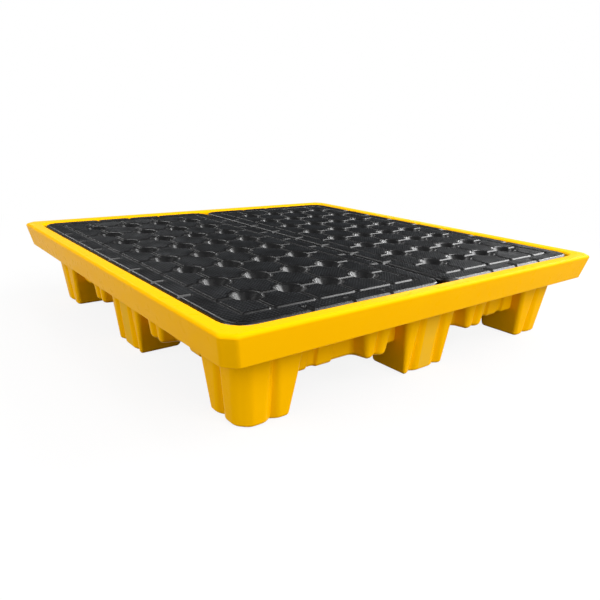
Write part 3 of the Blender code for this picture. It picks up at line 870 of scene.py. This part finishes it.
def make_knurl(g):
    """Knurl of square pyramids: grids of cells on the deck, raised and then drawn up to points."""
    patches = []
    for x0, y0, x1, y1 in knurl_patches(g):
        deselect_all()
        bpy.ops.mesh.primitive_grid_add(
            x_subdivisions=round((x1 - x0) / g.knurl_pitch), y_subdivisions=round((y1 - y0) / g.knurl_pitch),
            size=1, calc_uvs=False, location=((x0 + x1) / 2, (y0 + y1) / 2, deck_level(g) - KNURL_SUNK))
        bpy.context.object.scale = (x1 - x0, y1 - y0, 1)
        patches.append(bpy.context.object)
    knurl = join(patches)
    bpy.ops.object.mode_set(mode='EDIT')
    bpy.ops.mesh.select_mode(type='FACE')
    bpy.ops.mesh.select_all(action='DESELECT')
    bpy.ops.object.mode_set(mode='OBJECT')
    for face in knurl.data.polygons:
        face.select = not is_knurled(g, face.center.x, face.center.y)
    bpy.ops.object.mode_set(mode='EDIT')
    bpy.ops.mesh.delete(type='FACE')
    bpy.ops.mesh.select_all(action='SELECT')
    bpy.ops.mesh.extrude_region_move(TRANSFORM_OT_translate={"value": (0, 0, KNURL_SUNK)})
    bpy.ops.mesh.poke(offset=g.knurl_height)
    bpy.ops.mesh.select_all(action='SELECT')
    bpy.ops.mesh.normals_make_consistent(inside=False)
    bpy.ops.mesh.select_mode(type='VERT')
    bpy.ops.object.mode_set(mode='OBJECT')
    return knurl


# Operators
class PALLET_OT_tray(bpy.types.Operator):
    """Make the moulded sump tray with its rim and feet"""
    bl_idname = "pallet.tray"
    bl_label = "Sump tray"

    def execute(self, context):
        sizes = context.scene.pallet_tray
        colours = context.scene.pallet_colours
        tray = make_tray(sizes)
        tray.data.materials.clear()
        tray.data.materials.append(yellow_polyethylene(
            "rotomoulded_polyethylene_yellow", colours.yellow, colours.yellow_deep, roughness=0.30))
        tray.data.materials.append(yellow_polyethylene(
            "rotomoulded_polyethylene_yellow_panel", colours.yellow_panel, colours.yellow, roughness=0.50))
        mark_panels(sizes, tray)
        smooth(tray, degrees=32)
        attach(tray, "tray")
        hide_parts(*TRAY_NODES)
        return {'FINISHED'}


class PALLET_OT_grates(bpy.types.Operator):
    """Make one deck grate and copy it to the other side of the seam"""
    bl_idname = "pallet.grates"
    bl_label = "Deck grates"

    def execute(self, context):
        sizes = context.scene.pallet_grate
        colours = context.scene.pallet_colours
        plain = smooth_black_polyethylene("moulded_polyethylene_black", colours)
        rough = knurled_black_polyethylene("knurled_polyethylene_black", colours, base=deck_level(sizes),
                                           tip=sizes.top)
        panel = make_panel(sizes)
        panel.data.materials.clear()
        panel.data.materials.append(plain)
        panel.data.materials.append(rough)
        mark_deck(sizes, panel)
        smooth(panel, degrees=38)
        knurl = make_knurl(sizes)
        knurl.data.materials.append(rough)
        grate = join([panel, knurl])
        other = copy_of(grate)
        for piece, side, low, high in ((grate, "left", LEFT_LOW, LEFT_HIGH),
                                       (other, "right", RIGHT_LOW, RIGHT_HIGH)):
            piece.name = "deck_grate_moulding_" + side
            piece.location.x = (low.x + high.x) / 2
            settle(piece)
            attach(piece, side + "_grate")
            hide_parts("deck_grate_" + side)
        return {'FINISHED'}


class PALLET_OT_columns(bpy.types.Operator):
    """Make one turned support column and copy it into every foot"""
    bl_idname = "pallet.columns"
    bl_label = "Support columns"

    def execute(self, context):
        c = context.scene.pallet_column
        low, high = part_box(COLUMN_NODES[0])
        base = (high.x - low.x) / 2
        tube = base - c.flange
        bore = tube - c.wall
        ring = [(bore, low.z, c.edge), (base, low.z, c.edge), (base, low.z + c.flange, c.edge),
                (tube, low.z + 2 * c.flange, c.fillet), (tube, high.z - 2 * c.flange, c.fillet),
                (base, high.z - c.flange, c.edge), (base, high.z, c.edge), (bore, high.z, c.edge)]
        points = rounded(ring, steps=SMALL_STEPS)
        column = loft("column", [(circle(radius), z) for radius, z in points + points[:1]], capped=False)
        column.data.materials.append(column_polyethylene(
            "extruded_polyethylene_black", context.scene.pallet_colours.column_black))
        smooth(column, degrees=35)
        for node in COLUMN_NODES:
            piece = copy_of(column)
            piece.name = node.replace("support_column", "support_column_tube")
            low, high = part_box(node)
            piece.location = ((low.x + high.x) / 2, (low.y + high.y) / 2, 0)
            settle(piece)
            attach(piece, "tray")
            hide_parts(node)
        bpy.data.objects.remove(column)
        return {'FINISHED'}


class PALLET_OT_stage(bpy.types.Operator):
    """Make the studio: floor, light, surroundings and camera"""
    bl_idname = "pallet.stage"
    bl_label = "Stage"

    def execute(self, context):
        make_floor(context.scene.pallet_colours)
        make_light(context.scene)
        make_camera(context.scene, context.scene.pallet_stage)
        context.scene.view_settings.view_transform = 'Standard'
        return {'FINISHED'}


# Stage
def seen_rays(tree):
    """One for rays that show the surroundings to the camera, directly or in a gloss."""
    path = add_node(tree, "LightPath")
    glossy = add_node(tree, "Math", {
        0: path.outputs["Is Camera Ray"], 1: path.outputs["Is Glossy Ray"]}, operation='MAXIMUM')
    return add_node(tree, "Math", {0: glossy.outputs[0], 1: path.outputs["Is Transmission Ray"]},
                    operation='MAXIMUM').outputs[0]


def make_floor(colours):
    """Plain pale floor that runs out to white and keeps a soft shadow of the pallet."""
    deselect_all()
    bpy.ops.mesh.primitive_plane_add(size=FLOOR_SIZE, location=(0, 0, -FLOOR_SINK))
    floor = bpy.context.object
    floor.name = "studio_floor"
    item = bpy.data.materials.new("studio_floor_white")
    item.use_nodes = True
    tree = item.node_tree
    tree.nodes.clear()
    place = add_node(tree, "TexCoord").outputs["Object"]
    away = add_node(tree, "VectorMath", {0: place}, operation='LENGTH').outputs["Value"]
    # Near the pallet part of the white comes from the light on the floor, so its shadow shows.
    white = add_node(tree, "MapRange", {
        "Value": away, "From Min": 0.9, "From Max": 2.4, "To Min": 0.87, "To Max": 1.0},
        interpolation_type='SMOOTHSTEP')
    seen = seen_rays(tree)
    share = add_node(tree, "Math", {0: seen, 1: white.outputs["Result"]}, operation='MULTIPLY')
    tint = add_node(tree, "Mix", {0: seen, 6: (*colours.floor, 1), 7: (*colours.floor_seen, 1)},
                    data_type='RGBA')
    matt = add_node(tree, "BsdfDiffuse", {"Color": tint.outputs[2]})
    glow = add_node(tree, "Emission", {"Color": (1, 1, 1, 1), "Strength": 1.0})
    mix = add_node(tree, "MixShader", {0: share.outputs[0], 1: matt.outputs[0], 2: glow.outputs[0]})
    add_node(tree, "OutputMaterial", {"Surface": mix.outputs[0]})
    floor.data.materials.append(item)


def make_light(scene):
    """Even white surroundings, large soft lamps, and two strip lamps for the lights along the edges."""
    world = bpy.data.worlds.new("studio_surroundings")
    world.use_nodes = True
    scene.world = world
    tree = world.node_tree
    tree.nodes.clear()
    # White to the camera all round. A gloss sees white walls under a dim ceiling.
    path = add_node(tree, "LightPath")
    toward = add_node(tree, "TexCoord").outputs["Generated"]
    upward = add_node(tree, "SeparateXYZ", {"Vector": toward})
    ceiling = add_node(tree, "MapRange", {
        "Value": upward.outputs["Z"], "From Min": 0.0, "From Max": 0.16, "To Min": 1.0, "To Max": 0.2},
        interpolation_type='SMOOTHSTEP')
    gloss = add_node(tree, "Math", {0: path.outputs["Is Camera Ray"], 1: ceiling.outputs["Result"]},
                     operation='MAXIMUM')
    level = add_node(tree, "Mix", {0: seen_rays(tree), 2: AMBIENT, 3: gloss.outputs[0]})
    light = add_node(tree, "Background", {"Color": (1, 1, 1, 1), "Strength": level.outputs[0]})
    add_node(tree, "OutputWorld", {"Surface": light.outputs[0]})
    for name, place, width, height, watts in LAMPS:
        deselect_all()
        bpy.ops.object.light_add(type='AREA', location=place)
        lamp = bpy.context.object
        lamp.name = name
        lamp.data.energy = watts
        lamp.data.shape = 'RECTANGLE'
        lamp.data.size = width
        lamp.data.size_y = height
        aim = LAMP_AIM - Vector(place)
        lamp.rotation_euler = aim.to_track_quat('-Z', 'Y').to_euler()


def make_camera(scene, view):
    """Camera at the photograph's viewpoint, for a square frame."""
    back = Vector((math.sin(view.azimuth) * math.cos(view.elevation),
                   -math.cos(view.azimuth) * math.cos(view.elevation), math.sin(view.elevation)))
    right = (-back).cross(Vector((0, 0, 1))).normalized()
    up = right.cross(-back)
    cos, sin = math.cos(view.roll), math.sin(view.roll)
    matrix = Matrix((cos * right + sin * up, cos * up - sin * right, back)).transposed().to_4x4()
    matrix.translation = view.place
    deselect_all()
    bpy.ops.object.camera_add()
    camera = bpy.context.object
    camera.name = "photo_camera"
    camera.matrix_world = matrix
    camera.data.sensor_width = SENSOR
    camera.data.lens = view.focal_pixels / FRAME_PIXELS * SENSOR
    camera.data.shift_x = SHIFT_PIXELS[0] / FRAME_PIXELS
    camera.data.shift_y = SHIFT_PIXELS[1] / FRAME_PIXELS
    scene.camera = camera


class PALLET_PT_sidebar(bpy.types.Panel):
    """Lists the pieces, their sizes and the colours"""
    bl_idname = "PALLET_PT_sidebar"
    bl_label = "Spill pallet"
    bl_space_type = 'VIEW_3D'
    bl_region_type = 'UI'
    bl_category = "Pallet"

    def draw(self, context):
        for operator in OPERATORS:
            self.layout.operator(operator.bl_idname)
        for name in GROUPS:
            box = self.layout.box()
            group = getattr(context.scene, name)
            for key in group.__annotations__:
                box.prop(group, key)


OPERATORS = (PALLET_OT_tray, PALLET_OT_grates, PALLET_OT_columns, PALLET_OT_stage)
GROUPS = {"pallet_tray": TraySizes, "pallet_grate": GrateSizes, "pallet_column": ColumnSizes,
          "pallet_colours": PalletColours, "pallet_stage": StageSettings}


def register():
    for group in GROUPS.values():
        bpy.utils.register_class(group)
    for name, group in GROUPS.items():
        setattr(bpy.types.Scene, name, bpy.props.PointerProperty(type=group))
    for item in (*OPERATORS, PALLET_PT_sidebar):
        bpy.utils.register_class(item)


def unregister():
    for item in (PALLET_PT_sidebar, *reversed(OPERATORS)):
        bpy.utils.unregister_class(item)
    for name, group in GROUPS.items():
        delattr(bpy.types.Scene, name)
        bpy.utils.unregister_class(group)


def main():
    register()
    bpy.ops.pallet.tray()
    bpy.ops.pallet.grates()
    bpy.ops.pallet.columns()
    bpy.ops.pallet.stage()


if __name__ == "__main__":
    main()
